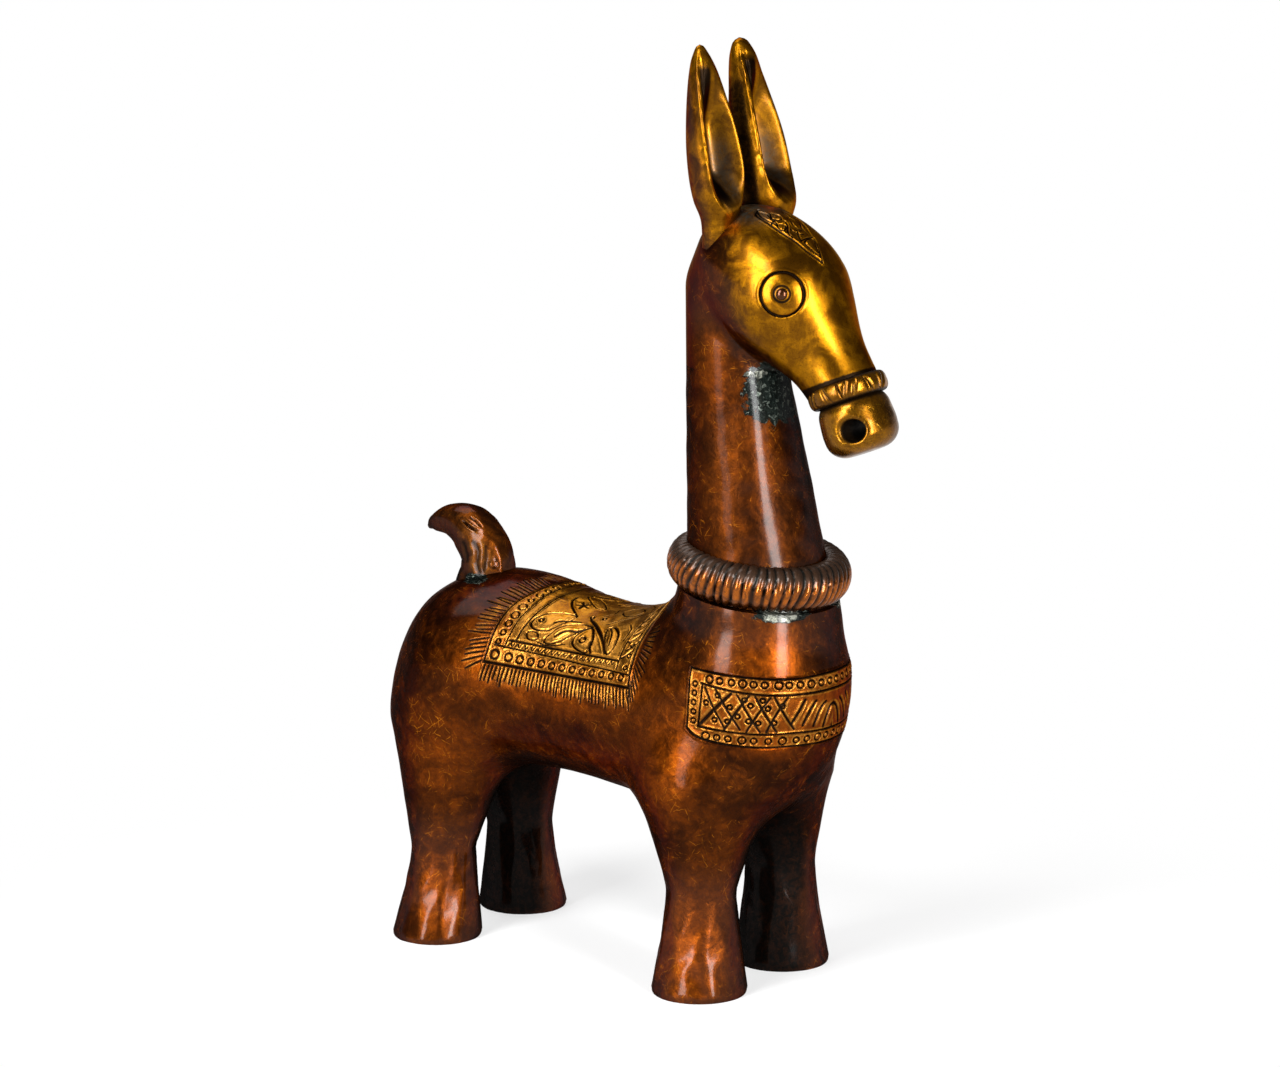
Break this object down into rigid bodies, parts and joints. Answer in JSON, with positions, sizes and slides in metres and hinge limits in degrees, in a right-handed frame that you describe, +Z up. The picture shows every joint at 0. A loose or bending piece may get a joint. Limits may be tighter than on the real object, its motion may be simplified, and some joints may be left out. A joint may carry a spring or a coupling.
{
  "type": "horse figurine",
  "caption": "Free-standing cast horse figurine with an upright neck, tall scooped ears, a fluted collar, a noseband and a curled tail.",
  "frame": {"origin": "on the ground under the middle of the figure's bounding box", "axes": "+X forward, the way the horse faces; +Y the horse's own left; +Z up"},
  "size_m": [0.2014, 0.0806, 0.3231],
  "materials": {
    "patinated_copper_brown": "dark copper-brown patina under a glossy lacquer",
    "rubbed_copper": "patina rubbed back to copper on the ridges",
    "burnished_brass": "burnished golden brass",
    "worn_brass": "dull brass, scuffed by standing",
    "copper_bead": "polished copper bead"
  },
  "bodies": {
    "root": {"trunk_left_shell": "patinated_copper_brown", "trunk_right_shell": "patinated_copper_brown", "front_left_leg": "patinated_copper_brown", "front_right_leg": "patinated_copper_brown", "rear_left_leg": "patinated_copper_brown", "rear_right_leg": "patinated_copper_brown", "neck_shell": "patinated_copper_brown", "tail": "patinated_copper_brown", "collar_ring": "rubbed_copper", "head_shell": "burnished_brass", "left_ear": "burnished_brass", "right_ear": "burnished_brass", "noseband": "burnished_brass", "muzzle": "burnished_brass", "left_eye_disc": "burnished_brass", "right_eye_disc": "burnished_brass", "front_left_sole": "worn_brass", "front_right_sole": "worn_brass", "rear_left_sole": "worn_brass", "rear_right_sole": "worn_brass", "left_eye_rivet": "copper_bead", "right_eye_rivet": "copper_bead"}
  },
  "joints": []
}
